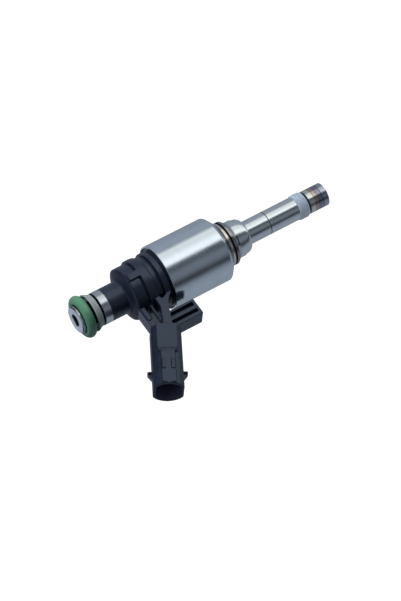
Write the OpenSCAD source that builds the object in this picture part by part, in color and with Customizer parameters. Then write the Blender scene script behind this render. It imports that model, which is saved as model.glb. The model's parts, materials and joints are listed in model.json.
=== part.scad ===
// Solenoid fuel injector for direct injection, valve closed.
// Millimetres. The origin is the centre of the spray tip's end face.
// +Z runs up the injector's axis to the fuel inlet, +X is the connector's side.

/* [Nozzle] */
// Radius of the spray tip
tip_r = 3.73; // [3.6:0.01:3.74]
// Length of the end ring that belongs to the valve seat
seat_ring_h = 2; // [1.8:0.1:2.2]
// Height of the tip zone below the combustion seal
tip_top = 6.6; // [6.2:0.1:6.7]
// Radius of the nozzle shaft
shaft_r = 3.75; // [3.74:0.01:3.9]
// Height of the shoulder where the shaft meets the collar
shaft_top = 28.95; // [28:0.05:29.3]
// Radius of the nozzle collar
collar_r = 5.93; // [5.8:0.01:6]
// Height of the fine turned line on the shaft
mark_z = 21.3; // [15:0.1:26]
// Radius of the fuel passage
passage_r = 2.4; // [2:0.1:2.6]

/* [Combustion seal] */
// Lower face of the seal
seal_z0 = 7.2; // [7.1:0.05:7.3]
// Upper face of the seal
seal_z1 = 10.65; // [10.2:0.05:11]
// Outer radius of the seal
seal_r = 4.1; // [4:0.05:4.2]
// Radius of the groove that holds the seal
seal_groove_r = 3.3; // [3.1:0.05:3.4]

/* [Support rings] */
// Radius of the neck that the rings sit on
ring_seat_r = 5.3; // [5.2:0.05:5.4]
// Outer radius of the washer and the support ring
ring_r = 7.1; // [6.9:0.05:7.2]
// Lower face of the split ring
split_z0 = 33.65; // [33.4:0.05:33.9]
// Gap of the split ring
split_gap = 3; // [2:0.1:3.5]
// Direction of the split ring's gap
split_dir = 54; // [0:1:359]

/* [Solenoid can] */
// Outer radius of the can
can_r = 10.35; // [10.2:0.05:10.5]
// Wall of the can's rim
can_rim_wall = 0.5; // [0.4:0.05:0.6]
// Lower end of the can's cone
cone_z0 = 37.3; // [37.1:0.1:37.5]
// Lower end of the can's cylinder
can_z0 = 39.85; // [39.5:0.05:40]
// Upper end of the can
can_z1 = 60.05; // [59.9:0.05:60.3]

/* [Moulded body] */
// Radius of the drum's bands
drum_r = 9.12; // [9:0.02:9.2]
// Radius of the drum between its bands
valley_r = 8.57; // [8.4:0.01:8.7]
// Radius of the pocket floors
pocket_r = 8.47; // [8.3:0.01:8.6]
// Angular width of a rib between two pockets
rib_angle = 16; // [10:1:24]
// Radius of the neck above the drum
neck_r = 5.25; // [5.1:0.05:5.4]
// Upper end of the neck
neck_top = 79; // [78:0.1:79.5]
// Half thickness of the web behind the ribs
web_half = 1.5; // [1.4:0.1:1.8]
// Half width of the inlet-side strut
strut_half = 2.5; // [2.2:0.1:2.8]
// Half width of the Y-shaped rib
fork_half = 4.5; // [4.2:0.1:4.8]

/* [Locating lug] */
// Side of the lug that faces the can
lug_x0 = 12.85; // [12.5:0.05:13.3]
// Outer side of the lug
lug_x1 = 18.45; // [17.8:0.05:18.6]
// Lower end of the lug
lug_z0 = 56.05; // [55:0.05:57]
// Half width of the lug
lug_half = 2.8; // [2.4:0.1:3]
// Depth of the lug's slots
lug_slot_depth = 1.8; // [1:0.1:2]

/* [Connector] */
// Distance from the axis to the centre of the mouth
mouth_x = 34.9; // [34:0.1:36]
// Height of the centre of the mouth
mouth_z = 78.8; // [78:0.1:80]
// Tilt of the connector above the horizontal
connector_tilt = 30; // [28:1:32]
// Length of the connector behind its mouth
connector_len = 20.5; // [20:0.1:21]
// Width of the connector between its flat sides
connector_w = 9.1; // [8.8:0.1:9.4]
// Height of the connector across its curved sides
connector_h = 10.7; // [10.4:0.1:11]
// Wall around the socket
socket_wall = 0.8; // [0.7:0.05:0.9]
// Depth of the socket
socket_depth = 10; // [9:0.1:10.5]
// How far the latch tabs stand out
latch_out = 1.4; // [1.2:0.1:1.8]
// Distance of the latch tabs' shoulder behind the mouth
latch_back = 6.5; // [6:0.1:7]
// Half width of the latch tabs
latch_half = 0.9; // [0.6:0.1:1.5]

/* [Terminals] */
// Width of a blade
blade_w = 1.5; // [1.2:0.1:1.6]
// Thickness of a blade
blade_t = 0.64; // [0.5:0.02:0.8]
// Distance between the blades
blade_pitch = 3.8; // [3.6:0.1:4.2]
// Distance of the blades' ends behind the mouth
blade_recess = 5; // [4:0.1:5.5]

/* [Inlet] */
// Height of the inlet's end face
inlet_top = 89; // [88.9:0.05:89.1]
// Radius of the inlet's end flange
inlet_flange_r = 4.5; // [4.4:0.05:4.6]
// Radius of the O-ring groove
inlet_groove_r = 3.66; // [3.6:0.02:3.7]
// Radius of the bare steel band
inlet_band_r = 5.27; // [5.2:0.01:5.3]
// Radius of the tube inside the moulded body
tube_r = 4.6; // [4.5:0.05:4.7]
// Radius of the inlet bore
inlet_bore_r = 1.8; // [1.7:0.05:2]
// Height of the O-ring's centre
oring_z = 86.45; // [86.4:0.05:86.5]
// Radius of the O-ring's centre line
oring_ring_r = 5.22; // [5.2:0.01:5.25]
// Radius of the O-ring's cord
oring_cord_r = 1.53; // [1.5:0.01:1.54]

/* [Solenoid] */
// Inner radius of the valve sleeve
sleeve_bore_r = 4.2; // [4.1:0.05:4.25]
// Running clearance of the armature in the sleeve
armature_gap = 0.05; // [0.03:0.01:0.08]
// Lower face of the armature
armature_z0 = 41; // [40.8:0.1:41.2]
// Upper face of the armature
armature_z1 = 47.3; // [47:0.05:47.35]
// Lower face of the pole core
pole_z0 = 47.45; // [47.45:0.05:47.6]
// Outer radius of the coil winding
coil_r = 8.4; // [8:0.1:8.5]

/* [Needle and spring] */
// Radius of the valve ball
ball_r = 1.4; // [1.35:0.05:1.45]
// Clearance between the ball and its seat
ball_gap = 0.03; // [0.02:0.01:0.05]
// Radius of the needle's stem
needle_r = 1; // [0.9:0.05:1.05]
// Number of spray holes
spray_holes = 6; // [5:1:7]
// Free coils of the return spring
spring_turns = 8; // [6:1:9]
// Radius of the spring's centre line
spring_r = 1.3; // [1.25:0.05:1.35]
// Radius of the spring's wire
spring_wire_r = 0.24; // [0.2:0.02:0.26]

/* [Hidden] */

$fn = 96;
eps = 0.01;
cut = 1;

plastic_color = [0.1, 0.11, 0.15];
steel_color = [0.72, 0.74, 0.77];
bright_color = [0.85, 0.87, 0.89];
dark_color = [0.25, 0.24, 0.23];
brass_color = [0.76, 0.68, 0.42];
copper_color = [0.72, 0.4, 0.22];

// Heights along the axis
seat_joint_z = seat_ring_h + 0.1;
joint_r = tip_r - 0.35;
split_z1 = 34.9;
support_z1 = 36.45;
sleeve_z0 = 38;
sleeve_z1 = 62;
spigot_z1 = 41;
can_floor_z = 41.6;
coil_room_r = 9;
cover_z0 = 55.6;
cover_z1 = 57.9;
fill_z1 = 59.6;
flange_z0 = 60.6;
flange_z1 = 62.45;
band_z0 = 65.6;
band_z1 = 67.6;
shoulder_z = 71;
band_steel_z1 = 81.45;
backup_z0 = 82.1;
backup_z1 = 84.2;
inlet_flange_z = 88;

// Valve seat, a 45 degree cone
seat_flat_z = 0.8;
seat_flat_r = 0.4;
seat_bore_r = 1.55;
seat_spigot_r = 2.95;
seat_spigot_z = 3.6;
cone_apex_z = seat_flat_z - seat_flat_r;
ball_z = cone_apex_z + (ball_r + ball_gap) * sqrt(2);
ball_flat_z = ball_z + 1.2;
spring_z0 = 48.4;
spring_z1 = 55;

// A bar of constant width between two points of the XZ plane
module bar2d(from, to, width) {
    run = to - from;
    translate(from)
        rotate(atan2(run[1], run[0]))
            translate([0, -width / 2])
                square([norm(run), width]);
}

// A prism that lies along Y, drawn in the XZ plane, from -half to half
module prism_y(half) {
    translate([0, half, 0])
        rotate([90, 0, 0])
            linear_extrude(2 * half)
                children();
}

// A prism that lies along X, drawn in the YZ plane, from -half to half
module prism_x(half) {
    translate([-half, 0, 0])
        rotate([90, 0, 90])
            linear_extrude(2 * half)
                children();
}

module tube(r_out, r_in, z0, z1) {
    translate([0, 0, z0])
        difference() {
            cylinder(r = r_out, h = z1 - z0);
            translate([0, 0, -cut])
                cylinder(r = r_in, h = z1 - z0 + 2 * cut);
        }
}

// The connector's own frame: its origin is the mouth, +Z points out of the socket
module at_connector() {
    translate([mouth_x, 0, mouth_z])
        rotate([0, 90 - connector_tilt, 0])
            children();
}

// ---- connector body: one moulding over the tube, the can's rim and the terminals ----

// Radius of the rounding at the drum's front edge
shoulder_curve_r = 1.05;
// Radius of the narrow groove at the lower end of the pockets
undercut_r = 8.05;
function shoulder_arc() = [
    for (a = [0:10:70])
        [pocket_r - shoulder_curve_r * (1 - cos(a)), shoulder_z + shoulder_curve_r * sin(a)]
];

module drum() {
    groove_r = 7.95;
    rotate_extrude()
        polygon(concat(
            [
                [tube_r, cover_z1], [can_r - can_rim_wall, cover_z1],
                [can_r - can_rim_wall, fill_z1], [8.7, fill_z1],
                [8.7, flange_z0], [drum_r, flange_z0], [drum_r, flange_z1],
                [groove_r, flange_z1 + 0.05], [groove_r, flange_z1 + 0.5],
                [valley_r, flange_z1 + 0.6], [valley_r, 63.8], [valley_r + 0.08, 64.3],
                [drum_r - 0.09, 65], [drum_r, band_z0], [drum_r, band_z1 - 0.1],
                [undercut_r, band_z1], [undercut_r, band_z1 + 0.35], [pocket_r, band_z1 + 0.45]
            ],
            shoulder_arc(),
            [
                [5.55, 72.8], [neck_r + 0.1, 72.95], [neck_r, 73.2], [neck_r, neck_top],
                [tube_r, neck_top]
            ]
        ));
}

// Three ribs divide the pockets; the strut takes the place of the fourth
module pocket_ribs() {
    curve_r = pocket_r - shoulder_curve_r;
    rib_curve = [
        for (a = [0:10:70])
            [curve_r + 1.7 * cos(a), shoulder_z - 0.5 + 1.5 * sin(a)]
    ];
    for (dir = [90, 180, 270])
        rotate([0, 0, dir - rib_angle / 2])
            rotate_extrude(angle = rib_angle)
                polygon(concat(
                    [[undercut_r - 0.5, band_z1 - 0.2], [drum_r, band_z1 - 0.2]],
                    rib_curve,
                    [[undercut_r - 0.5, shoulder_z]]
                ));
}

// Two windows leave the web open above and below the thin rib
module web() {
    difference() {
        prism_y(web_half)
            polygon([[7, 62.8], [9.6, 62.8], [12, 64.3], [16, 66], [19, 67], [20, 70.2],
                [18, 72.5], [16, 71.9], [7, 71.9]]);
        prism_y(web_half + cut)
            polygon([[8.2, 68.4], [15, 68.4], [15.4, 68.9], [15, 69.8], [8.2, 69.8]]);
        prism_y(web_half + cut)
            polygon([[8.2, 66.45], [11, 66.45], [13.4, 67.6], [8.2, 67.6]]);
    }
}

module strut() {
    prism_y(strut_half)
        polygon([[7, 69.8], [15.2, 69.8], [18, 71], [19, 73.2], [16.6, 71.9], [7, 71.9]]);
    prism_y(strut_half + 0.3)
        polygon([[7.2, 70.2], [12.2, 70.2], [12.6, 70.5], [12.6, 71.2], [12.2, 71.5], [7.2, 71.5]]);
}

module thin_rib() {
    prism_y(strut_half)
        polygon([[7, 67.6], [14.6, 67.6], [14.6, 68.4], [7, 68.4]]);
}

// The rib starts as two arms on the drum and runs on to the connector's raised panel
module fork_rib() {
    prism_y(fork_half)
        polygon([[7, 66.25], [11, 66.45], [17.2, 69.25], [18.6, 67.05], [11.4, 63.85],
            [10, 63.05], [8, 60.65], [7.4, 61.45], [8.9, 64.35], [7.4, 65.15]]);
}

module lug() {
    slot_z0 = lug_z0 + 0.9;
    slot_h = 66 - slot_z0;
    difference() {
        translate([lug_x0, -lug_half, lug_z0])
            cube([lug_x1 - lug_x0, 2 * lug_half, 66.2 - lug_z0]);
        for (side = [-1, 1], x = [lug_x0 + 0.8, lug_x0 + 3.3])
            translate([x, side * (lug_half - lug_slot_depth / 2), slot_z0])
                translate([0, -lug_slot_depth / 2 - (side < 0 ? cut : 0), 0])
                    cube([1.2, lug_slot_depth + cut, slot_h]);
    }
    prism_y(lug_half)
        polygon([[lug_x0, 66], [lug_x0, 66.2], [15, 67.4], [19.4, 68.6], [lug_x1, 66]]);
}

// A round hood with two flat sides and soft corners
module socket_outline(w, h) {
    corner_r = 1;
    offset(r = corner_r)
        offset(delta = -corner_r)
            intersection() {
                circle(d = h);
                square([w, h], center = true);
            }
}

panel_end = 11;
panel_start = 20.3;

module connector_shell() {
    panel_w = 6;
    panel_y = connector_h / 2 + 0.25;
    strip_w = 4.2;
    ridge_w = 0.9;
    ridge_x = 1.35;
    ridge_back = 8.1;
    translate([0, 0, -connector_len])
        linear_extrude(connector_len)
            socket_outline(connector_w, connector_h);
    // Raised panel on the rear half, a narrower strip on to the mouth, two ridges on it
    prism_x(panel_w / 2)
        polygon([
            [-panel_y, -panel_start], [panel_y, -panel_start], [panel_y, -panel_end - 1.2],
            [panel_y - 0.4, -panel_end], [0.4 - panel_y, -panel_end],
            [-panel_y, -panel_end - 1.2]
        ]);
    translate([0, 0, -panel_end - eps])
        linear_extrude(panel_end - 0.4)
            square([strip_w, connector_h + 0.2], center = true);
    for (side = [-1, 1])
        translate([side * ridge_x, 0, -ridge_back])
            linear_extrude(3.2)
                square([ridge_w, connector_h + 0.7], center = true);
}

module latch_tabs() {
    tip_back = 3.6;
    flat_back = 5.6;
    foot = connector_w / 2 - 0.1;
    reach = connector_w / 2 + latch_out;
    // A shallow pocket in each face of a tab keeps its wall thickness even
    pocket = [0.75, 1.2, 0.8];
    difference() {
        prism_y(latch_half)
            polygon([[-reach, -latch_back], [reach, -latch_back], [reach, -flat_back],
                [foot, -tip_back], [-foot, -tip_back], [-reach, -flat_back]]);
        for (side = [-1, 1], face = [-1, 1])
            translate([side * (connector_w / 2 + 0.6), face * latch_half, 0.85 - latch_back])
                cube(pocket, center = true);
    }
}

module connector_body() {
    color(plastic_color)
        difference() {
            union() {
                drum();
                pocket_ribs();
                difference() {
                    union() {
                        web();
                        strut();
                        thin_rib();
                        fork_rib();
                        lug();
                        at_connector() {
                            connector_shell();
                            latch_tabs();
                        }
                    }
                    // Keeps the bore for the inlet tube clear
                    translate([0, 0, cover_z1])
                        cylinder(r = tube_r + 1, h = neck_top - cover_z1);
                }
            }
            at_connector()
                translate([0, 0, -socket_depth])
                    linear_extrude(socket_depth + cut)
                        socket_outline(connector_w - 2 * socket_wall, connector_h - 2 * socket_wall);
            terminal_shape(1);
            terminal_shape(-1);
            bobbin_post(0);
        }
}

// ---- terminals ----

strip_w = 0.4;
strip_t = 0.5;
strip_y = 0.85;
post_z0 = 56;
bend_low = [6.8, 68];
bend_mid = [14.8, 68];
bend_high = [17.35, 68.85];
joggle_back = 13.5;

// side is 1 for the terminal towards +Y and -1 for the other
module terminal_shape(side) {
    blade_y = side * blade_pitch / 2;
    join = [mouth_x - joggle_back * cos(connector_tilt), mouth_z - joggle_back * sin(connector_tilt)];
    translate([0, side * strip_y, 0])
        prism_y(strip_t / 2) {
            bar2d([bend_low[0], post_z0], bend_low + [0, strip_w / 2], strip_w);
            bar2d(bend_low, bend_mid, strip_w);
            bar2d(bend_mid, bend_high, strip_w);
            bar2d(bend_high, join, strip_w);
            for (bend = [bend_mid, bend_high])
                translate(bend)
                    circle(d = strip_w, $fn = 24);
        }
    at_connector() {
        translate([-blade_w / 2, side > 0 ? strip_y - strip_t / 2 : blade_y - blade_t / 2,
                -joggle_back - 0.8])
            cube([blade_w, blade_pitch / 2 + blade_t / 2 - strip_y + strip_t / 2, 0.8]);
        translate([-blade_w / 2, blade_y - blade_t / 2, -joggle_back - 0.8])
            cube([blade_w, blade_t, joggle_back + 0.8 - blade_recess]);
    }
}

module terminal_a() {
    color(brass_color)
        terminal_shape(1);
}

module terminal_b() {
    color(brass_color)
        terminal_shape(-1);
}

// ---- solenoid ----

module solenoid_can() {
    color(steel_color)
        rotate_extrude()
            polygon([
                [ring_seat_r, cone_z0], [7.25, cone_z0], [can_r, can_z0], [can_r, can_z1],
                [can_r - can_rim_wall, can_z1], [can_r - can_rim_wall, cover_z1],
                [coil_room_r, cover_z1], [coil_room_r, can_floor_z], [ring_seat_r, can_floor_z]
            ]);
}

bobbin_z0 = 41.7;
bobbin_z1 = 55.5;
bobbin_flange = 0.8;
// The post carries the terminals' feet; play widens it for the hole it passes through
module bobbin_post(play) {
    translate([5.5 - play, -1.9 - play, bobbin_z1])
        cube([2.6 + 2 * play, 3.8 + 2 * play, 3.1]);
}

module bobbin() {
    color("tan")
        difference() {
            union() {
                tube(5.3, tube_r + 0.05, bobbin_z0, bobbin_z1);
                tube(8.8, tube_r + 0.05, bobbin_z0, bobbin_z0 + bobbin_flange);
                tube(8.8, tube_r + 0.05, bobbin_z1 - bobbin_flange, bobbin_z1);
                bobbin_post(0);
            }
            terminal_shape(1);
            terminal_shape(-1);
        }
}

module coil_winding() {
    color(copper_color)
        tube(coil_r, 5.3, bobbin_z0 + bobbin_flange, bobbin_z1 - bobbin_flange);
}

module magnetic_cover() {
    color(steel_color)
        difference() {
            tube(coil_room_r, tube_r, cover_z0, cover_z1);
            bobbin_post(0.1);
        }
}

module pole_core() {
    color(steel_color)
        tube(sleeve_bore_r, 1.9, pole_z0, sleeve_z1);
}

module adjusting_sleeve() {
    color(brass_color)
        difference() {
            tube(1.88, 1, spring_z1, 60);
            translate([0, -0.15, spring_z1 - cut])
                cube([3, 0.3, 10]);
        }
}

module valve_sleeve() {
    color(steel_color)
        tube(tube_r, sleeve_bore_r, sleeve_z0, sleeve_z1);
}

// ---- return spring: a round wire swept along a helix with closed ends ----

wire_sides = 8;
steps_per_turn = 18;
function spring_height(turn, free) =
    let (wire = 2 * spring_wire_r, rise = spring_z1 - spring_z0 - 3 * wire)
    turn < 1 ? wire * turn
    : turn > free + 1 ? wire + rise + wire * (turn - free - 1)
    : wire + rise * (turn - 1) / free;

module return_spring() {
    turns = spring_turns + 2;
    count = turns * steps_per_turn;
    points = [
        for (i = [0:count], k = [0:wire_sides - 1])
            let (
                turn = i / steps_per_turn,
                ring_a = 360 * turn,
                wire_a = 360 * k / wire_sides,
                r = spring_r + spring_wire_r * cos(wire_a),
                z = spring_z0 + spring_wire_r + spring_height(turn, spring_turns)
            )
            [r * cos(ring_a), r * sin(ring_a), z + spring_wire_r * sin(wire_a)]
    ];
    sides = [
        for (i = [0:count - 1], k = [0:wire_sides - 1])
            let (a = i * wire_sides + k, b = i * wire_sides + (k + 1) % wire_sides)
            [a, a + wire_sides, b + wire_sides, b]
    ];
    start_cap = [[for (k = [0:wire_sides - 1]) k]];
    end_cap = [[for (k = [wire_sides - 1:-1:0]) count * wire_sides + k]];
    color(steel_color)
        polyhedron(points, concat(sides, start_cap, end_cap), convexity = 10);
}

// ---- moving needle ----

module armature() {
    flow_holes = 4;
    color(steel_color)
        difference() {
            tube(sleeve_bore_r - armature_gap, needle_r, armature_z0, armature_z1);
            for (i = [0:flow_holes - 1])
                rotate([0, 0, 45 + i * 360 / flow_holes])
                    translate([2.9, 0, armature_z0 - cut])
                        cylinder(r = 0.6, h = 10, $fn = 32);
        }
}

module needle() {
    color(bright_color)
        rotate_extrude()
            polygon([[0, ball_flat_z], [0.7, ball_flat_z], [needle_r, ball_flat_z + 0.5],
                [needle_r, 48.2], [0.85, spring_z0], [0.85, 49.4], [0.6, 49.6], [0, 49.6]]);
}

module valve_ball() {
    color(bright_color)
        translate([0, 0, ball_z])
            difference() {
                sphere(r = ball_r);
                translate([-ball_r, -ball_r, ball_flat_z - ball_z])
                    cube(2 * ball_r);
            }
}

module upper_stop_ring() {
    color(bright_color)
        tube(1.6, needle_r, armature_z1, 48.2);
}

module lower_stop_ring() {
    color(bright_color)
        tube(1.9, needle_r, 40, armature_z0);
}

// ---- nozzle ----

shoulder_steps = 8;
collar_z0 = 31.65;
round_h = collar_z0 - shaft_top;
round_r = collar_r - 0.25 - shaft_r;
function collar_round() = [
    for (i = [0:shoulder_steps])
        let (a = 90 * i / shoulder_steps)
        [shaft_r + round_r * sin(a), shaft_top + round_h * (1 - cos(a))]
];

module nozzle_body() {
    color(steel_color)
        rotate_extrude()
            polygon(concat(
                [
                    [seat_spigot_r, seat_joint_z], [tip_r, seat_joint_z], [tip_r, tip_top],
                    [seal_groove_r, tip_top], [seal_groove_r, seal_z1 + 0.05],
                    [shaft_r, seal_z1 + 0.05],
                    [shaft_r, mark_z - 0.14], [shaft_r - 0.1, mark_z],
                    [shaft_r, mark_z + 0.14]
                ],
                collar_round(),
                [
                    [collar_r, collar_z0], [collar_r, split_z0], [ring_seat_r, split_z0],
                    [ring_seat_r, spigot_z1], [tube_r, spigot_z1], [tube_r, sleeve_z0],
                    [passage_r, sleeve_z0], [passage_r, 5.5], [seat_spigot_r, 5.5]
                ]
            ));
}

module guide_disc() {
    color(steel_color)
        difference() {
            tube(seat_spigot_r, needle_r + 0.03, 4.2, 5.4);
            for (i = [0:3])
                rotate([0, 0, i * 90])
                    translate([2.1, 0, 4])
                        cylinder(r = 0.5, h = 2, $fn = 32);
        }
}

module valve_seat() {
    color(steel_color)
        difference() {
            rotate_extrude()
                polygon([
                    [0, 0.2], [2.3, 0.2], [2.5, 0], [tip_r, 0], [tip_r, seat_ring_h],
                    [joint_r, seat_ring_h], [joint_r, seat_joint_z],
                    [seat_spigot_r, seat_joint_z], [seat_spigot_r, seat_spigot_z],
                    [seat_bore_r, seat_spigot_z], [seat_bore_r, cone_apex_z + seat_bore_r],
                    [seat_flat_r, seat_flat_z], [0, seat_flat_z]
                ]);
            for (i = [0:spray_holes - 1])
                rotate([0, 0, i * 360 / spray_holes])
                    translate([0.62, 0, 0])
                        rotate([0, -25, 0])
                            cylinder(r = 0.09, h = 1.2, $fn = 24);
        }
}

module combustion_seal() {
    color("white")
        rotate_extrude()
            polygon([
                [seal_groove_r, seal_z0], [seal_r - 0.3, seal_z0], [seal_r, seal_z0 + 0.45],
                [seal_r, seal_z1 - 0.55], [shaft_r + 0.05, seal_z1], [seal_groove_r, seal_z1]
            ]);
}

// ---- rings between the can and the collar ----

module support_washer() {
    color(brass_color)
        tube(ring_r, ring_seat_r, support_z1, cone_z0);
}

module support_ring() {
    color(dark_color)
        rotate_extrude()
            polygon([
                [ring_seat_r, split_z1], [ring_r - 0.15, split_z1], [ring_r, split_z1 + 0.25],
                [ring_r, support_z1 - 0.5], [ring_r - 0.6, support_z1 - 0.45],
                [ring_r - 0.6, support_z1], [ring_seat_r, support_z1]
            ]);
}

module split_ring() {
    half_gap = asin(split_gap / 2 / (collar_r + 0.12));
    color(dark_color)
        rotate([0, 0, split_dir + half_gap])
            rotate_extrude(angle = 360 - 2 * half_gap)
                polygon([
                    [ring_seat_r, split_z0], [collar_r + 0.12, split_z0],
                    [collar_r + 0.12, split_z0 + 0.3], [6.45, split_z0 + 0.8],
                    [6.85, split_z1], [ring_seat_r, split_z1]
                ]);
}

// ---- inlet ----

filter_room_r = 1.65;

module inlet_tube() {
    color(bright_color)
        difference() {
            rotate_extrude()
                polygon([
                    [filter_room_r, sleeve_z1], [tube_r, sleeve_z1], [tube_r, neck_top],
                    [inlet_band_r, neck_top], [inlet_band_r, band_steel_z1],
                    [4.3, band_steel_z1], [4.3, backup_z0], [inlet_groove_r, backup_z0],
                    [inlet_groove_r, inlet_flange_z], [inlet_flange_r, inlet_flange_z],
                    [inlet_flange_r, inlet_top - 0.35], [inlet_flange_r - 0.4, inlet_top],
                    [filter_room_r, inlet_top]
                ]);
            translate([0, 0, 76])
                cylinder(r = inlet_bore_r, h = 20);
            // Lead-in of the bore
            translate([0, 0, inlet_top - 0.25])
                cylinder(r1 = inlet_bore_r - eps, r2 = inlet_bore_r + 0.25, h = 0.26);
        }
}

module inlet_o_ring() {
    color([0.3, 0.55, 0.42])
        rotate_extrude()
            translate([oring_ring_r, oring_z])
                circle(r = oring_cord_r);
}

module backup_ring() {
    bore_r = inlet_groove_r + 0.02;
    color([0.62, 0.66, 0.66])
        rotate_extrude()
            polygon([[bore_r, backup_z0], [5.2, backup_z0], [5.3, backup_z0 + 0.5],
                [5.95, backup_z1 - 0.35], [5.95, backup_z1], [5.55, backup_z1],
                [4.6, backup_z1 - 0.9], [bore_r, backup_z1 - 0.9]]);
}

filter_z1 = 86;
module filter_ring() {
    color(brass_color)
        tube(inlet_bore_r, 1.4, filter_z1 - 1.2, filter_z1);
}

// A cup of mesh, closed at its lower end
module filter_screen() {
    color([0.55, 0.57, 0.55])
        rotate_extrude()
            polygon([[0, 76.4], [0.9, 76.4], [1.39, 84.8], [1.39, 85.6], [1.15, 85.6],
                [1.15, 84.8], [0.7, 76.7], [0, 76.7]]);
}

connector_body();
solenoid_can();
inlet_tube();
inlet_o_ring();
backup_ring();
filter_ring();
filter_screen();
terminal_a();
terminal_b();
bobbin();
coil_winding();
magnetic_cover();
pole_core();
adjusting_sleeve();
return_spring();
valve_sleeve();
armature();
needle();
valve_ball();
upper_stop_ring();
lower_stop_ring();
nozzle_body();
guide_disc();
valve_seat();
combustion_seal();
support_washer();
support_ring();
split_ring();
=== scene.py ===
"""Looks of the fuel injector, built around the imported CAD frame.

Lathe-turned parts are rebuilt as clean revolved meshes with small edge radii, the moulded
body is refined from its CAD shape, and every part gets a procedural material.
Outlines are (radius, height, edge radius) in millimetres along the injector's axis.
"""

import json
import math

import bmesh
import bpy
from mathutils import Matrix, Vector


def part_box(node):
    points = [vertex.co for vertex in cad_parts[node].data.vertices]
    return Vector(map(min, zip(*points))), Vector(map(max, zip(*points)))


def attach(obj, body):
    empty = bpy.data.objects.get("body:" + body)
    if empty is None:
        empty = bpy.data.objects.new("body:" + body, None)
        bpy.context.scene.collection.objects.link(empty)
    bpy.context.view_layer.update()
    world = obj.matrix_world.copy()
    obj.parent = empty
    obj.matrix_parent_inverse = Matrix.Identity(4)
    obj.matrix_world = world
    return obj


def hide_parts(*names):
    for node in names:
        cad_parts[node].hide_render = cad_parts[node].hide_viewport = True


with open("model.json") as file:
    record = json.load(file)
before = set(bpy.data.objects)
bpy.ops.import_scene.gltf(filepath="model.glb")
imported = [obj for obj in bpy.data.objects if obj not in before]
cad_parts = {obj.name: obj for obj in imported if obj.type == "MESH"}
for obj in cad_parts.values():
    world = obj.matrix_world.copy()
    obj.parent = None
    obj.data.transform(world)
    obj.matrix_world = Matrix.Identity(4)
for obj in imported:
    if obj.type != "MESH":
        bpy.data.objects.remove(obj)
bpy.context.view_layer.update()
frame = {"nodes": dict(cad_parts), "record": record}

MM = 0.001
TURN = 2 * math.pi
SEGMENTS = 192
ARC_STEPS = 4
FIXED = "injector"
BACKDROP = 1.05
scene = bpy.context.scene


# ---------------------------------------------------------------- sizes from the frame

def node_size(node):
    """Outer radius, lowest and highest height of a node that is round about the axis, in mm."""
    low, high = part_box(node)
    return high.x / MM, low.z / MM, high.z / MM


CAN_R, CAN_BOTTOM, CAN_TOP = node_size("solenoid_can")
SEAL_R, SEAL_BOTTOM, SEAL_TOP = node_size("combustion_seal")
TIP_R, _, _ = node_size("valve_seat")
COLLAR_R, BODY_BOTTOM, SPIGOT_TOP = node_size("nozzle_body")
WASHER_R, WASHER_BOTTOM, WASHER_TOP = node_size("support_washer")
SUPPORT_R, SUPPORT_BOTTOM, SUPPORT_TOP = node_size("support_ring")
_, SPLIT_BOTTOM, SPLIT_TOP = node_size("split_ring")
BAND_R, TUBE_BOTTOM, INLET_TOP = node_size("inlet_tube")
ORING_R, ORING_BOTTOM, ORING_TOP = node_size("inlet_o_ring")
BACKUP_R, BACKUP_BOTTOM, BACKUP_TOP = node_size("backup_ring")

# Steps within a node, in mm: the tip's upper end, the ring mark on the shaft, the inlet band's
# upper edge, the inlet flange's underside, and the radius of the inlet's mouth
TIP_TOP = 6.6
MARK_Z = 21.3
BAND_TOP = 81.45
FLANGE_BOTTOM = 88.0
MOUTH_R = 1.8


# ---------------------------------------------------------------- mesh helpers

def rounded(outline):
    """The outline's corners as arcs of their own edge radius."""
    points = []
    for i, (r, z, edge) in enumerate(outline):
        corner = Vector((r, z))
        if edge <= 0:
            points.append(corner)
            continue
        to_last = (Vector(outline[i - 1][:2]) - corner).normalized()
        to_next = (Vector(outline[(i + 1) % len(outline)][:2]) - corner).normalized()
        angle = to_last.angle(to_next)
        reach = edge / math.tan(angle / 2)
        centre = corner + (to_last + to_next).normalized() * (edge / math.sin(angle / 2))
        start = corner + to_last * reach - centre
        end = corner + to_next * reach - centre
        sweep = math.pi - angle
        for k in range(ARC_STEPS + 1):
            t = k / ARC_STEPS
            arm = (start * math.sin((1 - t) * sweep) + end * math.sin(t * sweep)) / math.sin(sweep)
            points.append(centre + arm)
    return points


def revolve(name, outline, gap=0.0, direction=0.0):
    """A closed outline turned about the Z axis; a gap in degrees leaves it open there."""
    points = rounded(outline)
    mesh = bpy.data.meshes.new(name)
    build = bmesh.new()
    start = math.radians(direction + gap / 2)
    sweep = math.radians(360 - gap)
    rings = SEGMENTS if gap == 0 else SEGMENTS + 1
    verts = []
    for i in range(rings):
        a = start + sweep * i / SEGMENTS
        verts.append([build.verts.new((p.x * MM * math.cos(a), p.x * MM * math.sin(a), p.y * MM))
                      for p in points])
    count = len(points)
    for i in range(SEGMENTS):
        here, there = verts[i], verts[(i + 1) % rings]
        for k in range(count):
            n = (k + 1) % count
            build.faces.new((here[k], there[k], there[n], here[n]))
    if gap:
        build.faces.new(verts[0])
        build.faces.new(list(reversed(verts[-1])))
    bmesh.ops.recalc_face_normals(build, faces=build.faces)
    build.to_mesh(mesh)
    build.free()
    return new_object(name, mesh)


def new_object(name, mesh):
    obj = bpy.data.objects.new(name, mesh)
    scene.collection.objects.link(obj)
    return obj


def smooth(obj, sharp_angle=35):
    """Smooth shading with sharp edges kept, and flat faces that stay flat."""
    mesh = obj.data
    mesh.polygons.foreach_set("use_smooth", [True] * len(mesh.polygons))
    mesh.set_sharp_from_angle(angle=math.radians(sharp_angle))
    weights = obj.modifiers.new("weighted_normals", "WEIGHTED_NORMAL")
    weights.keep_sharp = True


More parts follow.
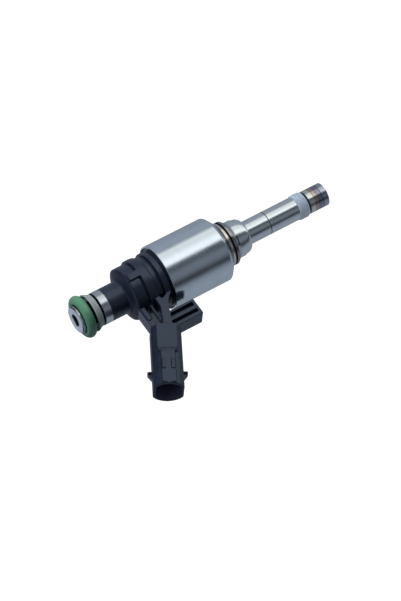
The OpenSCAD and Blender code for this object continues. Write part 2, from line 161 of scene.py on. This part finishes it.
def finish_piece(obj, slot, material, *nodes):
    """Give a new piece its material and body, and let it stand for its CAD nodes."""
    obj.data.materials.clear()
    obj.data.materials.append(material)
    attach(obj, FIXED)
    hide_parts(*nodes)


# ---------------------------------------------------------------- material helpers

class Shader:
    """A node material with a Principled shader and short calls to feed it."""

    def __init__(self, name, color, roughness, metallic=0.0):
        self.material = bpy.data.materials.new(name)
        self.material.use_nodes = True
        self.nodes = self.material.node_tree.nodes
        self.links = self.material.node_tree.links
        self.principled = self.nodes["Principled BSDF"]
        self.set("Base Color", (*color, 1))
        self.set("Roughness", roughness)
        self.set("Metallic", metallic)
        self.coords = self.nodes.new("ShaderNodeTexCoord").outputs["Object"]

    def set(self, socket, value):
        self.principled.inputs[socket].default_value = value

    def link(self, source, target):
        self.links.new(source, target)

    def tint(self, color):
        """Multiply the base colour by another one."""
        base = self.principled.inputs["Base Color"].links[0].from_socket
        self.link(self.mix(1.0, base, color, "MULTIPLY"), self.principled.inputs["Base Color"])

    def noise(self, scale, detail=4.0, roughness=0.55, stretch=(1, 1, 1)):
        """Noise in metres; scale is per millimetre, stretch squeezes it along an axis."""
        mapping = self.nodes.new("ShaderNodeMapping")
        mapping.inputs["Scale"].default_value = [s / MM for s in stretch]
        self.link(self.coords, mapping.inputs["Vector"])
        texture = self.nodes.new("ShaderNodeTexNoise")
        texture.inputs["Scale"].default_value = scale
        texture.inputs["Detail"].default_value = detail
        texture.inputs["Roughness"].default_value = roughness
        self.link(mapping.outputs["Vector"], texture.inputs["Vector"])
        return texture.outputs["Fac"]

    def height(self):
        """Height along the injector's axis in millimetres."""
        split = self.nodes.new("ShaderNodeSeparateXYZ")
        self.link(self.coords, split.inputs["Vector"])
        return self.math("MULTIPLY", split.outputs["Z"], 1 / MM)

    def radius(self):
        """Distance from the injector's axis in millimetres."""
        flat = self.nodes.new("ShaderNodeVectorMath")
        flat.operation = "MULTIPLY"
        flat.inputs[1].default_value = (1 / MM, 1 / MM, 0)
        self.link(self.coords, flat.inputs[0])
        length = self.nodes.new("ShaderNodeVectorMath")
        length.operation = "LENGTH"
        self.link(flat.outputs["Vector"], length.inputs[0])
        return length.outputs["Value"]

    def along(self, direction, start):
        """Distance from a start point along a direction, in millimetres."""
        offset = self.nodes.new("ShaderNodeVectorMath")
        offset.operation = "SUBTRACT"
        offset.inputs[1].default_value = start
        self.link(self.coords, offset.inputs[0])
        dot = self.nodes.new("ShaderNodeVectorMath")
        dot.operation = "DOT_PRODUCT"
        dot.inputs[1].default_value = Vector(direction) / MM
        self.link(offset.outputs["Vector"], dot.inputs[0])
        return dot.outputs["Value"]

    def inside(self, value, low, high, edge=0.03):
        """1 between low and high with soft edges, else 0."""
        return self.math("MULTIPLY", self.remap(value, low - edge, low + edge, 0, 1),
                         self.remap(value, high - edge, high + edge, 1, 0))

    def darken(self, masks, color):
        """Lay a dark dull colour over the base colour where any of the masks is 1; this paints shade
        into grooves and gaps, and also darkens real joints and marks.
        """
        dull_roughness = 0.6
        factor = masks[0]
        for mask in masks[1:]:
            factor = self.math("MAXIMUM", factor, mask)
        base = self.principled.inputs["Base Color"].links[0].from_socket
        self.link(self.mix(factor, base, color), self.principled.inputs["Base Color"])
        rough = self.principled.inputs["Roughness"].links[0].from_socket
        self.link(self.math("MAXIMUM", rough, self.math("MULTIPLY", factor, dull_roughness)),
                  self.principled.inputs["Roughness"])

    def math(self, operation, a, b=0.0):
        step = self.nodes.new("ShaderNodeMath")
        step.operation = operation
        for socket, value in zip(step.inputs, (a, b)):
            if isinstance(value, (int, float)):
                socket.default_value = value
            else:
                self.link(value, socket)
        return step.outputs[0]

    def remap(self, value, low, high, to_low, to_high):
        step = self.nodes.new("ShaderNodeMapRange")
        for socket, number in zip(step.inputs[1:5], (low, high, to_low, to_high)):
            socket.default_value = number
        self.link(value, step.inputs[0])
        return step.outputs[0]

    def ramp(self, value, stops):
        step = self.nodes.new("ShaderNodeValToRGB")
        elements = step.color_ramp.elements
        while len(elements) < len(stops):
            elements.new(0.5)
        for element, (place, color) in zip(elements, stops):
            element.position = place
            element.color = (*color, 1)
        self.link(value, step.inputs["Fac"])
        return step.outputs["Color"]

    def mix(self, factor, a, b, blend="MIX"):
        step = self.nodes.new("ShaderNodeMix")
        step.data_type = "RGBA"
        step.blend_type = blend
        for socket, value in ((step.inputs[0], factor), (step.inputs[6], a), (step.inputs[7], b)):
            if isinstance(value, (int, float)):
                socket.default_value = value
            elif isinstance(value, tuple):
                socket.default_value = (*value, 1)
            else:
                self.link(value, socket)
        return step.outputs[2]

    def bump(self, value, strength, distance_mm, below=None):
        step = self.nodes.new("ShaderNodeBump")
        step.inputs["Strength"].default_value = strength
        step.inputs["Distance"].default_value = distance_mm * MM
        self.link(value, step.inputs["Height"])
        if below is not None:
            self.link(below, step.inputs["Normal"])
        return step.outputs["Normal"]


def turned_steel(name, color, roughness, line_depth=0.1, stain=0.05):
    """Steel turned on a lathe: fine rings round the axis, cloudy polish and small stains."""
    s = Shader(name, color, roughness, metallic=1.0)
    rings = s.noise(0.9, detail=6, roughness=0.6, stretch=(0.05, 0.05, 9))
    fine = s.noise(1.6, detail=3, stretch=(0.12, 0.12, 26))
    clouds = s.noise(0.16, detail=4)
    dark = tuple(c * (1 - stain) for c in color)
    light = tuple(min(1, c * (1 + stain / 2)) for c in color)
    s.link(s.mix(s.remap(clouds, 0.35, 0.65, 0, 1), dark, light), s.principled.inputs["Base Color"])
    rough = s.math("ADD", s.remap(rings, 0.3, 0.7, roughness - 0.04, roughness + 0.05),
                   s.remap(clouds, 0.3, 0.7, -0.02, 0.03))
    s.link(rough, s.principled.inputs["Roughness"])
    coarse = s.bump(rings, line_depth, 0.02)
    s.link(s.bump(fine, line_depth * 0.7, 0.01, coarse), s.principled.inputs["Normal"])
    return s


# ---------------------------------------------------------------- materials

def make_can_steel():
    return turned_steel("can_steel", (0.59, 0.635, 0.69), 0.2).material


def make_inlet_steel():
    """Bright turned steel; painted shade darkens the narrow grooves, the seat of the seals and the
    bore.
    """
    s = turned_steel("inlet_steel", (0.50, 0.53, 0.56), 0.24, line_depth=0.06)
    groove_r = 5.15
    neck_r = 4.0
    # Painted shade: a dark dull colour where shade falls in the grooves, under the seals and in the
    # bore.
    grooves = s.math("MULTIPLY", s.inside(s.height(), BAND_TOP - 0.01, BACKUP_BOTTOM, 0.02),
                     s.remap(s.radius(), groove_r, groove_r + 0.05, 1, 0))
    bore = s.remap(s.radius(), MOUTH_R - 0.02, MOUTH_R + 0.04, 1, 0)
    neck = s.math("MULTIPLY", s.inside(s.height(), BACKUP_BOTTOM, FLANGE_BOTTOM - 0.05),
                  s.remap(s.radius(), neck_r, neck_r + 0.1, 1, 0))
    s.darken([grooves, bore, neck], (0.02, 0.02, 0.022))
    return s.material


def make_inner_steel():
    return turned_steel("inner_steel", (0.56, 0.57, 0.58), 0.3).material


def make_nozzle_steel():
    """Turned steel with the gold and purple heat tint that the weld leaves near the tip. The
    joint with the seat and the ring mark are dark, and painted shade darkens the seal's groove."""
    s = turned_steel("nozzle_steel", (0.60, 0.63, 0.66), 0.2)
    tint_span = 8.0
    wobble = s.remap(s.noise(0.35, detail=3), 0.3, 0.7, -0.2, 0.2)
    place = s.math("DIVIDE", s.math("ADD", s.height(), wobble), tint_span)
    # Heights up the tip as a share of the span: end ring, purple, pink, gold, plain steel
    tint = s.ramp(place, [
        (0.0, (0.66, 0.67, 0.71)), (0.25, (0.56, 0.57, 0.62)), (0.27, (0.53, 0.51, 0.61)),
        (0.36, (0.40, 0.37, 0.46)), (0.44, (0.40, 0.30, 0.39)), (0.51, (0.86, 0.64, 0.58)),
        (0.57, (0.42, 0.38, 0.27)), (0.63, (0.98, 0.93, 0.74)), (0.73, (0.98, 0.96, 0.87)),
        (0.82, (0.86, 0.83, 0.78)), (0.86, (1.0, 1.0, 1.0))])
    s.tint(tint)
    height = s.height()
    joint = s.inside(height, BODY_BOTTOM - 0.18, BODY_BOTTOM + 0.05, 0.03)
    # Painted shade in the narrow gap between the tip and the seal.
    seal_groove_shade = s.inside(height, TIP_TOP + 0.02, SEAL_BOTTOM + 0.1, 0.02)
    mark = s.inside(height, MARK_Z - 0.1, MARK_Z + 0.1, 0.05)
    s.darken([joint, seal_groove_shade, mark], (0.03, 0.03, 0.034))
    return s.material


def make_dark_ring():
    """Tempered steel, with painted shade that makes it black in the groove at its upper end and along
    its lower edge.
    """
    s = turned_steel("dark_ring", (0.30, 0.285, 0.30), 0.2)
    # Painted shade in the groove and along the lower edge.
    groove = s.inside(s.height(), SUPPORT_TOP - 0.55, SUPPORT_TOP, 0.04)
    lower_edge_shade = s.inside(s.height(), SPLIT_TOP - 0.06, SPLIT_TOP + 0.1, 0.04)
    s.darken([groove, lower_edge_shade], (0.02, 0.018, 0.02))
    return s.material


def socket_light_mask(s):
    """1 on the walls and floor inside the plug socket, which opens at its mount. The mask's sides
    run inside the walls' thickness, so the outer skin stays out of it. It marks where a lighter colour
    is painted as light reaching into the socket."""
    side_limit = 4.15
    round_limit = 4.9
    floor_depth = 10.4
    lip_depth = 0.2
    socket = next(m for m in frame["record"]["mounts"] if m["name"] == "plug_socket")
    out_x, _, out_z = socket["axis"]
    depth = s.along((out_x, 0, out_z), socket["pos_m"])
    across = s.along((-out_z, 0, out_x), socket["pos_m"])
    side = s.along((0, 1, 0), socket["pos_m"])
    across_2 = s.math("MULTIPLY", across, across)
    side_2 = s.math("MULTIPLY", side, side)
    from_axis = s.math("SQRT", s.math("ADD", across_2, side_2))
    within = s.math("MULTIPLY", s.inside(across, -side_limit, side_limit),
                    s.remap(from_axis, round_limit, round_limit + 0.1, 1, 0))
    return s.math("MULTIPLY", within, s.inside(depth, -floor_depth, -lip_depth))


def make_moulding():
    """Blue-black glass-filled nylon, satin, with a fine grain and faint flow marks. The insides
    of the socket have a lighter base colour, painted light that stands for the light reaching into it."""
    s = Shader("moulding", (0.009, 0.011, 0.024), 0.4)
    grain = s.noise(9.0, detail=3)
    flow = s.noise(0.18, detail=4, stretch=(1, 1, 0.5))
    skin = s.mix(s.remap(flow, 0.35, 0.65, 0, 1), (0.007, 0.009, 0.021), (0.011, 0.014, 0.028))
    # Painted light: a lighter colour on the socket's insides stands for the light that reaches into it.
    s.link(s.mix(socket_light_mask(s), skin, (0.11, 0.1, 0.175)), s.principled.inputs["Base Color"])
    s.link(s.math("ADD", s.remap(grain, 0.3, 0.7, 0.34, 0.44), s.remap(flow, 0.3, 0.7, -0.04, 0.05)),
           s.principled.inputs["Roughness"])
    s.set("Specular IOR Level", 0.68)
    s.set("Specular Tint", (0.68, 0.81, 1.0, 1))
    s.link(s.bump(grain, 0.18, 0.02), s.principled.inputs["Normal"])
    return s.material


def make_washer_brass():
    """Heat-tinted washer: pale next to the can, gold and then brown at its lower edge."""
    s = turned_steel("washer_brass", (0.70, 0.70, 0.70), 0.22)
    place = s.remap(s.height(), WASHER_BOTTOM, WASHER_TOP, 0, 1)
    tint = s.ramp(place, [(0.0, (0.36, 0.31, 0.25)), (0.3, (0.58, 0.50, 0.36)),
                          (0.5, (0.92, 0.88, 0.74)), (0.7, (1.0, 0.99, 0.94)),
                          (0.9, (0.72, 0.72, 0.70))])
    s.tint(tint)
    return s.material


def make_green_rubber():
    s = Shader("green_rubber", (0.085, 0.225, 0.13), 0.42)
    cloud = s.noise(0.3, detail=4)
    speck = s.noise(5.0, detail=2)
    s.link(s.mix(s.remap(cloud, 0.3, 0.7, 0, 1), (0.065, 0.195, 0.115), (0.095, 0.25, 0.15)),
           s.principled.inputs["Base Color"])
    s.link(s.remap(cloud, 0.3, 0.7, 0.36, 0.5), s.principled.inputs["Roughness"])
    s.link(s.bump(speck, 0.08, 0.02), s.principled.inputs["Normal"])
    return s.material


def make_ptfe():
    """White PTFE with a blue cast. A little light comes through it, which the subsurface stands
    for; a faint glow is painted light for it that also lifts the shaded side."""
    s = Shader("ptfe", (0.27, 0.33, 0.41), 0.45)
    cloud = s.noise(0.35, detail=4)
    s.link(s.mix(s.remap(cloud, 0.3, 0.7, 0, 1), (0.25, 0.31, 0.39), (0.29, 0.35, 0.43)),
           s.principled.inputs["Base Color"])
    # Painted light: a faint glow that lifts the seal's shaded side.
    s.set("Emission Color", (0.76, 0.87, 1.0, 1))
    s.set("Emission Strength", 0.13)
    s.set("Subsurface Weight", 0.7)
    s.set("Subsurface Radius", (1.0, 1.0, 1.0))
    s.set("Subsurface Scale", 2.5 * MM)
    return s.material


def make_plain_plastic(name, color, roughness, vary=0.12, grain_depth=0.1):
    s = Shader(name, color, roughness)
    cloud = s.noise(0.35, detail=4)
    grain = s.noise(7.0, detail=2)
    dark = tuple(c * (1 - vary) for c in color)
    light = tuple(min(1, c * (1 + vary)) for c in color)
    s.link(s.mix(s.remap(cloud, 0.3, 0.7, 0, 1), dark, light), s.principled.inputs["Base Color"])
    s.link(s.remap(grain, 0.3, 0.7, roughness - 0.05, roughness + 0.05),
           s.principled.inputs["Roughness"])
    s.link(s.bump(grain, grain_depth, 0.02), s.principled.inputs["Normal"])
    return s.material


MATERIALS = {
    "can_steel": make_can_steel(),
    "inlet_steel": make_inlet_steel(),
    "inner_steel": make_inner_steel(),
    "nozzle_steel": make_nozzle_steel(),
    "moulding": make_moulding(),
    "green_rubber": make_green_rubber(),
    "backup_plastic": make_plain_plastic("backup_plastic", (0.27, 0.31, 0.31), 0.45),
    "ptfe": make_ptfe(),
    "bobbin_plastic": make_plain_plastic("bobbin_plastic", (0.5, 0.38, 0.22), 0.5),
    "filter_mesh": make_plain_plastic("filter_mesh", (0.45, 0.47, 0.45), 0.55),
    "blade_metal": turned_steel("blade_metal", (0.62, 0.6, 0.54), 0.3).material,
    "copper_wire": turned_steel("copper_wire", (0.62, 0.27, 0.12), 0.3).material,
    "washer_brass": make_washer_brass(),
    "dark_ring": make_dark_ring(),
    "spring_steel": turned_steel("spring_steel", (0.50, 0.49, 0.52), 0.17).material,
}


# ---------------------------------------------------------------- turned parts

def make_can():
    rim_wall = 0.5
    cone_top = 39.85
    cover_top = 57.9
    room_r = 9.0
    floor = 41.6
    seat_r = 5.3
    can = revolve("can_shell", [
        (seat_r, CAN_BOTTOM, 0.1), (7.25, CAN_BOTTOM, 0.25), (CAN_R, cone_top, 0.7),
        (CAN_R, CAN_TOP, 0.18), (CAN_R - rim_wall, CAN_TOP, 0.15),
        (CAN_R - rim_wall, cover_top, 0), (room_r, cover_top, 0), (room_r, floor, 0.2),
        (seat_r, floor, 0)])
    smooth(can)
    finish_piece(can, "can_steel", MATERIALS["can_steel"], "solenoid_can")


def make_nozzle():
    seal_groove_r = 3.3
    shaft_r = 3.75
    shaft_top = 28.95
    collar_bottom = 31.65
    mark_depth = 0.1
    mark_half = 0.14
    ring_seat_r = 5.3
    sleeve_r = 4.6
    passage_r = 2.4
    guide_top = 5.5
    spigot_r = 2.95
    sleeve_floor = 38.0
    curve_r = COLLAR_R - 0.25 - shaft_r
    curve_h = collar_bottom - shaft_top
    fullness = 1.3
    steps = 12
    angles = [math.pi / 2 * k / steps for k in range(steps + 1)]
    collar_curve = [(shaft_r + curve_r * math.sin(a),
                     shaft_top + curve_h * (1 - math.cos(a)) ** fullness, 0) for a in angles]
    nozzle = revolve("nozzle", [
        (spigot_r, BODY_BOTTOM, 0), (TIP_R, BODY_BOTTOM, 0.04), (TIP_R, TIP_TOP, 0.08),
        (seal_groove_r, TIP_TOP, 0.05), (seal_groove_r, SEAL_TOP + 0.05, 0),
        (shaft_r, SEAL_TOP + 0.05, 0.05),
        (shaft_r, MARK_Z - mark_half, 0.03), (shaft_r - mark_depth, MARK_Z, 0.03),
        (shaft_r, MARK_Z + mark_half, 0.03),
        *collar_curve, (COLLAR_R, collar_bottom, 0.08), (COLLAR_R, SPLIT_BOTTOM, 0.05),
        (ring_seat_r, SPLIT_BOTTOM, 0), (ring_seat_r, SPIGOT_TOP, 0.1),
        (sleeve_r, SPIGOT_TOP, 0), (sleeve_r, sleeve_floor, 0), (passage_r, sleeve_floor, 0.1),
        (passage_r, guide_top, 0), (spigot_r, guide_top, 0)])
    smooth(nozzle)
    finish_piece(nozzle, "nozzle_steel", MATERIALS["nozzle_steel"], "nozzle_body")


def make_seal():
    inner_r = 3.3
    seal = revolve("tip_seal", [
        (inner_r, SEAL_BOTTOM, 0), (SEAL_R - 0.3, SEAL_BOTTOM, 0.15), (SEAL_R, SEAL_BOTTOM + 0.45, 0.5),
        (SEAL_R, SEAL_TOP - 0.55, 0.5), (3.8, SEAL_TOP, 0.08), (inner_r, SEAL_TOP, 0)])
    smooth(seal)
    finish_piece(seal, "ptfe", MATERIALS["ptfe"], "combustion_seal")


def make_support_rings():
    seat_r = 5.3
    washer = revolve("yellow_washer", [
        (seat_r, WASHER_BOTTOM, 0), (WASHER_R, WASHER_BOTTOM, 0.15), (WASHER_R, WASHER_TOP, 0.12),
        (seat_r, WASHER_TOP, 0)])
    smooth(washer)
    finish_piece(washer, "washer_brass", MATERIALS["washer_brass"], "support_washer")
    ring = revolve("dark_support_ring", [
        (seat_r, SUPPORT_BOTTOM, 0), (SUPPORT_R - 0.15, SUPPORT_BOTTOM, 0.06),
        (SUPPORT_R, SUPPORT_BOTTOM + 0.25, 0.2), (SUPPORT_R, SUPPORT_TOP - 0.5, 0.12),
        (SUPPORT_R - 0.6, SUPPORT_TOP - 0.45, 0.04), (SUPPORT_R - 0.6, SUPPORT_TOP, 0),
        (seat_r, SUPPORT_TOP, 0)])
    smooth(ring)
    finish_piece(ring, "dark_ring", MATERIALS["dark_ring"], "support_ring")
    gap_width = 3.0
    gap_direction = 54.0
    lip_r = COLLAR_R + 0.12
    gap = 2 * math.degrees(math.asin(gap_width / 2 / lip_r))
    clip = revolve("open_ring", [
        (seat_r, SPLIT_BOTTOM, 0), (lip_r, SPLIT_BOTTOM, 0.08), (lip_r, SPLIT_BOTTOM + 0.3, 0.15),
        (6.45, SPLIT_BOTTOM + 0.8, 0.4), (6.85, SPLIT_TOP, 0.05), (seat_r, SPLIT_TOP, 0)],
        gap=gap, direction=gap_direction)
    smooth(clip)
    finish_piece(clip, "dark_ring", MATERIALS["spring_steel"], "split_ring")


def make_inlet():
    tube_r = 4.6
    bore_r = 1.65
    neck_top = 79.0
    filter_seat = 76.0
    band_groove_r = 4.3
    groove_r = 3.66
    flange_r = 4.5
    inlet = revolve("inlet", [
        (bore_r, TUBE_BOTTOM, 0), (tube_r, TUBE_BOTTOM, 0), (tube_r, neck_top, 0),
        (BAND_R, neck_top, 0), (BAND_R, BAND_TOP, 0.1), (band_groove_r, BAND_TOP, 0),
        (band_groove_r, BACKUP_BOTTOM, 0.05), (groove_r, BACKUP_BOTTOM, 0),
        (groove_r, FLANGE_BOTTOM, 0.15), (flange_r, FLANGE_BOTTOM, 0.08),
        (flange_r, INLET_TOP - 0.35, 0.12), (flange_r - 0.4, INLET_TOP, 0.1),
        (MOUTH_R + 0.25, INLET_TOP, 0.06), (MOUTH_R, INLET_TOP - 0.25, 0.06),
        (MOUTH_R, filter_seat, 0), (bore_r, filter_seat, 0)])
    smooth(inlet)
    finish_piece(inlet, "inlet_steel", MATERIALS["inlet_steel"], "inlet_tube")


def make_inlet_seals():
    cord_r = (ORING_TOP - ORING_BOTTOM) / 2
    ring_r = ORING_R - cord_r
    middle = (ORING_TOP + ORING_BOTTOM) / 2
    cord_sides = 40
    circle = [(ring_r + cord_r * math.cos(TURN * k / cord_sides),
               middle + cord_r * math.sin(TURN * k / cord_sides), 0) for k in range(cord_sides)]
    o_ring = revolve("green_o_ring", circle)
    smooth(o_ring, 80)
    finish_piece(o_ring, "green_rubber", MATERIALS["green_rubber"], "inlet_o_ring")
    bore_r = 3.68
    backup = revolve("grey_backup_ring", [
        (bore_r, BACKUP_BOTTOM, 0), (5.2, BACKUP_BOTTOM, 0.12), (5.3, BACKUP_BOTTOM + 0.5, 0.4),
        (BACKUP_R, BACKUP_TOP - 0.35, 0.25), (BACKUP_R, BACKUP_TOP, 0.08),
        (5.55, BACKUP_TOP, 0.08), (4.6, BACKUP_TOP - 0.9, 0.1), (bore_r, BACKUP_TOP - 0.9, 0)])
    smooth(backup)
    finish_piece(backup, "backup_plastic", MATERIALS["backup_plastic"], "backup_ring")


# ---------------------------------------------------------------- moulded body

def make_moulded_body():
    """The CAD moulding with every edge rounded: remeshed finely, then relaxed a little."""
    source = frame["nodes"]["connector_body"]
    obj = new_object("moulded_body", source.data.copy())
    remesh = obj.modifiers.new("remesh", "REMESH")
    remesh.mode = "VOXEL"
    remesh.voxel_size = 0.14 * MM
    relax = obj.modifiers.new("relax", "SMOOTH")
    relax.factor = 0.5
    relax.iterations = 3
    bpy.context.view_layer.update()
    ready = bpy.data.meshes.new_from_object(obj.evaluated_get(bpy.context.evaluated_depsgraph_get()))
    obj.modifiers.clear()
    obj.data = ready
    ready.polygons.foreach_set("use_smooth", [True] * len(ready.polygons))
    finish_piece(obj, "moulding", MATERIALS["moulding"], "connector_body")


# ---------------------------------------------------------------- nodes kept from the CAD

def dress_cad_nodes():
    """The other CAD nodes keep their shape and get a material and a small edge radius."""
    slots = {entry["node"]: entry["material_slot"] for entry in frame["record"]["subparts"]}
    for name, obj in frame["nodes"].items():
        if obj.hide_render:
            continue
        obj.data.materials.clear()
        obj.data.materials.append(MATERIALS[slots[name]])
        obj.data.polygons.foreach_set("use_smooth", [True] * len(obj.data.polygons))
        edge = obj.modifiers.new("edge_radius", "BEVEL")
        edge.width = 0.05 * MM
        edge.segments = 2
        edge.limit_method = "ANGLE"
        edge.angle_limit = math.radians(40)
        edge.use_clamp_overlap = True
        weights = obj.modifiers.new("weighted_normals", "WEIGHTED_NORMAL")
        weights.keep_sharp = True


make_can()
make_nozzle()
make_seal()
make_support_rings()
make_inlet()
make_inlet_seals()
make_moulded_body()
dress_cad_nodes()


# ---------------------------------------------------------------- camera, floor, light

def make_camera():
    """Seen from 20 degrees towards the inlet's side, with the nozzle up and to the right."""
    right = Vector((0.5479, 0.0615, -0.8343))
    up = Vector((-0.7196, 0.5434, -0.4324))
    back = right.cross(up)
    on_axis = Vector((0, 0, 52.1))
    to_right = 6.07
    down = 10.09
    look_at = on_axis + to_right * right - down * up
    distance = 800.0
    camera = bpy.data.objects.new("camera", bpy.data.cameras.new("camera"))
    scene.collection.objects.link(camera)
    turn = Matrix((right, up, back)).transposed().to_4x4()
    camera.matrix_world = Matrix.Translation((look_at + back * distance) * MM) @ turn
    camera.data.lens = 160.0
    camera.data.sensor_width = 36.0
    camera.data.clip_start = 0.05
    camera.data.clip_end = 20.0
    scene.camera = camera


def make_floor():
    """A plain white floor below the injector. It is left out of reflections and bounced light."""
    half = 4.0
    drop = 0.4
    mesh = bpy.data.meshes.new("floor")
    corners = [(-half, -half, -drop), (half, -half, -drop), (half, half, -drop), (-half, half, -drop)]
    mesh.from_pydata(corners, [], [(0, 1, 2, 3)])
    floor = new_object("floor", mesh)
    s = Shader("floor", (0.2, 0.2, 0.2), 0.9)
    s.set("Emission Color", (1, 1, 1, 1))
    s.set("Emission Strength", BACKDROP)
    mesh.materials.append(s.material)
    floor.visible_glossy = False
    floor.visible_diffuse = False


def make_world():
    """A light tent round the injector's axis: a broad soft light above, a dim front, a pale
    table below. The camera itself sees plain white."""
    world = bpy.data.worlds.new("studio")
    world.use_nodes = True
    scene.world = world
    nodes, links = world.node_tree.nodes, world.node_tree.links
    nodes.clear()
    coords = nodes.new("ShaderNodeTexCoord").outputs["Generated"]
    front = Vector((0.454, 0.891, 0))
    above = Vector((-0.891, 0.454, 0))
    inlet_way = Vector((0, 0, 1))
    wall_way = Vector((-0.40, -0.79, 0.46))
    # Cosines of the angle to those two ways, between which the light changes
    dark_from, dark_to = 0.1, 0.3
    pale_from, pale_to = 0.75, 0.92
    wall_from, wall_to = 0.965, 0.985
    dark_level = 0.09
    pale_level = 0.55
    wall_gain = 9.0
    lit_tint = (0.965, 1.0, 0.985)
    dim_tint = (0.875, 1.0, 1.15)

    def along(direction):
        dot = nodes.new("ShaderNodeVectorMath")
        dot.operation = "DOT_PRODUCT"
        dot.inputs[1].default_value = direction
        links.new(coords, dot.inputs[0])
        return dot.outputs["Value"]

    def remap(value, low, high, to_low, to_high):
        step = nodes.new("ShaderNodeMapRange")
        for socket, number in zip(step.inputs[1:5], (low, high, to_low, to_high)):
            socket.default_value = number
        links.new(value, step.inputs[0])
        return step.outputs[0]

    angle = nodes.new("ShaderNodeMath")
    angle.operation = "ARCTAN2"
    links.new(along(above), angle.inputs[0])
    links.new(along(front), angle.inputs[1])
    ramp = nodes.new("ShaderNodeValToRGB")
    # Angle round the axis in degrees, 0 in front and 90 above, and the light from there
    tent = [(-180, 0.27), (-138, 0.38), (-99, 0.42), (-72, 0.36), (-62, 0.2), (-54, 0.06),
            (-46, 0.04), (-40, 0.14), (-28, 0.24), (-16, 0.25), (-7, 0.19), (2, 0.12), (12, 0.11),
            (17, 0.25), (20, 1.5), (30, 1.65), (44, 1.35), (56, 1.1), (66, 1.3), (72, 1.0),
            (78, 0.4), (92, 0.49), (110, 0.44), (140, 0.38), (180, 0.27)]
    elements = ramp.color_ramp.elements
    while len(elements) < len(tent):
        elements.new(0.5)
    for element, (degrees, level) in zip(elements, tent):
        element.position = (degrees + 180) / 360
        tint = lit_tint if level >= 1 else dim_tint
        element.color = (*(level * t for t in tint), 1)
    links.new(remap(angle.outputs[0], -math.pi, math.pi, 0, 1), ramp.inputs["Fac"])
    # Past the inlet end the tent turns dark and then, straight beyond it, pale again
    ceiling = nodes.new("ShaderNodeVectorMath")
    ceiling.operation = "SCALE"
    ceiling.inputs[0].default_value = dim_tint
    links.new(remap(along(inlet_way), pale_from, pale_to, dark_level, pale_level),
              ceiling.inputs["Scale"])
    cap = nodes.new("ShaderNodeMix")
    cap.data_type = "RGBA"
    links.new(remap(along(inlet_way), dark_from, dark_to, 0, 1), cap.inputs[0])
    links.new(ramp.outputs["Color"], cap.inputs[6])
    links.new(ceiling.outputs["Vector"], cap.inputs[7])
    # A small bright wall behind the inlet end lights its face
    wall = remap(along(wall_way), wall_from, wall_to, 1, wall_gain)
    tent_light = nodes.new("ShaderNodeBackground")
    links.new(cap.outputs[2], tent_light.inputs["Color"])
    links.new(wall, tent_light.inputs["Strength"])
    plain = nodes.new("ShaderNodeBackground")
    plain.inputs["Color"].default_value = (1, 1, 1, 1)
    plain.inputs["Strength"].default_value = BACKDROP
    seen = nodes.new("ShaderNodeLightPath")
    mix = nodes.new("ShaderNodeMixShader")
    links.new(seen.outputs["Is Camera Ray"], mix.inputs[0])
    links.new(tent_light.outputs[0], mix.inputs[1])
    links.new(plain.outputs[0], mix.inputs[2])
    output = nodes.new("ShaderNodeOutputWorld")
    links.new(mix.outputs[0], output.inputs["Surface"])


def make_key_light():
    """A soft square light above and in front; it lights dull surfaces and is not mirrored."""
    lamp = bpy.data.lights.new("key", "AREA")
    lamp.size = 0.35
    lamp.energy = 4.0
    obj = bpy.data.objects.new("key", lamp)
    scene.collection.objects.link(obj)
    target = Vector((0, 0, 0.05))
    obj.location = (-0.35, 0.45, 0.35)
    obj.rotation_euler = (target - obj.location).to_track_quat("-Z", "Y").to_euler()
    obj.visible_glossy = False


make_camera()
make_floor()
make_world()
make_key_light()
scene.view_settings.view_transform = "Standard"
